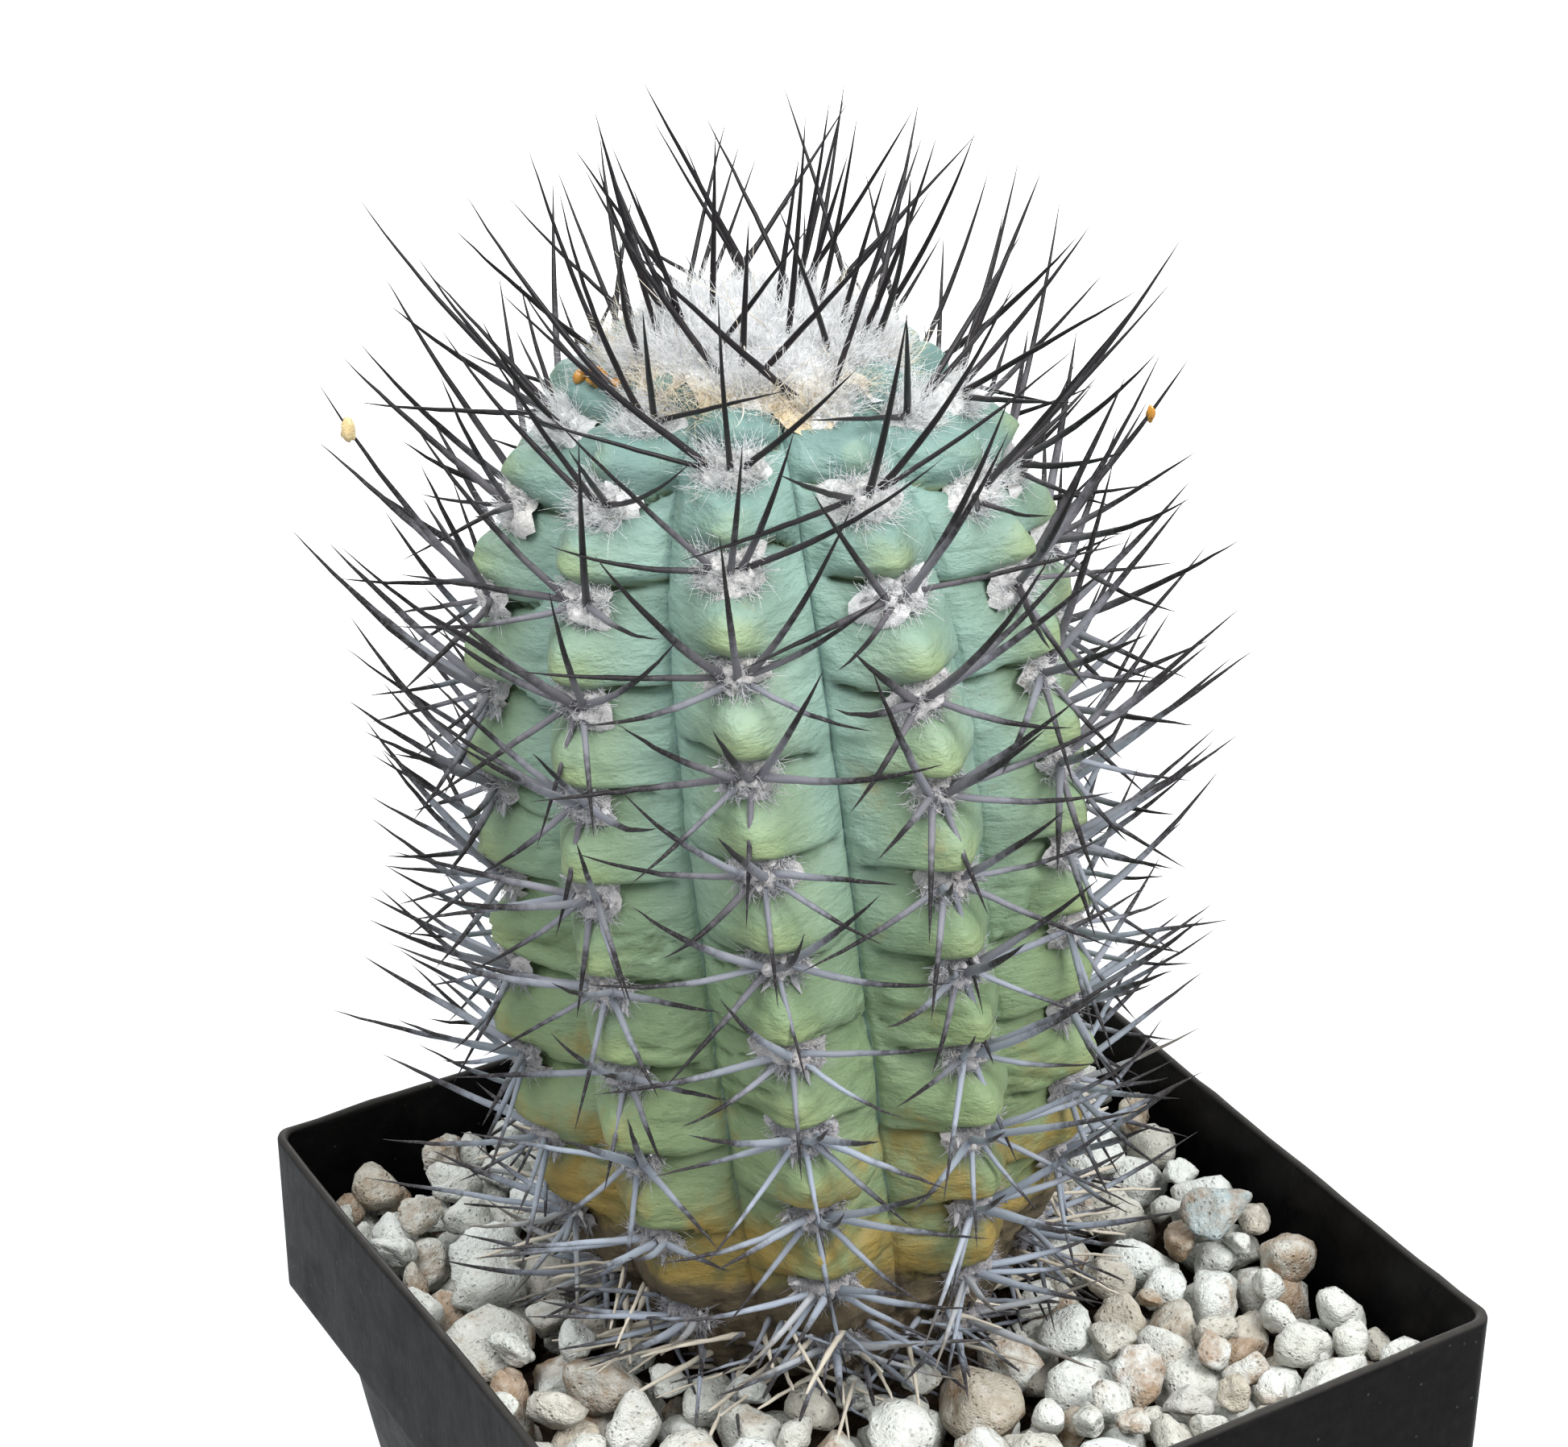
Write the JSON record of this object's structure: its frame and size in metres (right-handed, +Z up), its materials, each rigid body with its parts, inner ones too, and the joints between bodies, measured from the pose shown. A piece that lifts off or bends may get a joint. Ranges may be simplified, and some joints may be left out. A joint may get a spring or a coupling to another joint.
{
  "type": "potted round cactus",
  "caption": "Short ribbed spiny cactus with a woolly crown, rooted in pumice gravel in a square tapered nursery pot that stands on its flat base.",
  "frame": {"origin": "centre of the underside of the pot's floor", "axes": "+Z up; X and Y along the sides of the square pot; the plant leans towards -X and +Y"},
  "size_m": [0.1044, 0.11, 0.233],
  "materials": {
    "pot": "thin black nursery plastic with a satin sheen",
    "soil": "dark potting mix of bark and peat",
    "gravel": "rough pumice bed with brown stains",
    "stone": "rough pitted cream pumice",
    "skin": "waxy blue-green plant skin, yellow-green on the rib bumps, corky at the foot",
    "spine": "hard spines, black when young and grey with dark tips when old, on grey felt pads",
    "wool": "white woolly felt with tan tufts"
  },
  "bodies": {
    "root": {"pot": "pot", "soil": "soil", "gravel_bed": "gravel", "pumice_stone_01": "stone", "pumice_stone_02": "stone", "pumice_stone_03": "stone", "pumice_stone_04": "stone", "pumice_stone_05": "stone", "pumice_stone_06": "stone", "pumice_stone_07": "stone", "pumice_stone_08": "stone", "pumice_stone_09": "stone", "pumice_stone_10": "stone", "pumice_stone_11": "stone", "pumice_stone_12": "stone", "pumice_stone_13": "stone", "pumice_stone_14": "stone", "pumice_stone_15": "stone", "pumice_stone_16": "stone", "pumice_stone_17": "stone", "pumice_stone_18": "stone", "pumice_stone_19": "stone", "pumice_stone_20": "stone", "pumice_stone_21": "stone", "pumice_stone_22": "stone", "pumice_stone_23": "stone", "pumice_stone_24": "stone", "pumice_stone_25": "stone", "pumice_stone_26": "stone", "pumice_stone_27": "stone", "pumice_stone_28": "stone", "pumice_stone_29": "stone", "pumice_stone_30": "stone", "pumice_stone_31": "stone", "pumice_stone_32": "stone", "pumice_stone_33": "stone", "pumice_stone_34": "stone", "pumice_stone_35": "stone", "pumice_stone_36": "stone", "pumice_stone_37": "stone", "pumice_stone_38": "stone", "pumice_stone_39": "stone", "pumice_stone_40": "stone", "stem": "skin", "crown_spines": "spine", "crown_wool": "wool", "spines_rib_01": "spine", "spines_rib_02": "spine", "spines_rib_03": "spine", "spines_rib_04": "spine", "spines_rib_05": "spine", "spines_rib_06": "spine", "spines_rib_07": "spine", "spines_rib_08": "spine", "spines_rib_09": "spine", "spines_rib_10": "spine"}
  },
  "joints": []
}
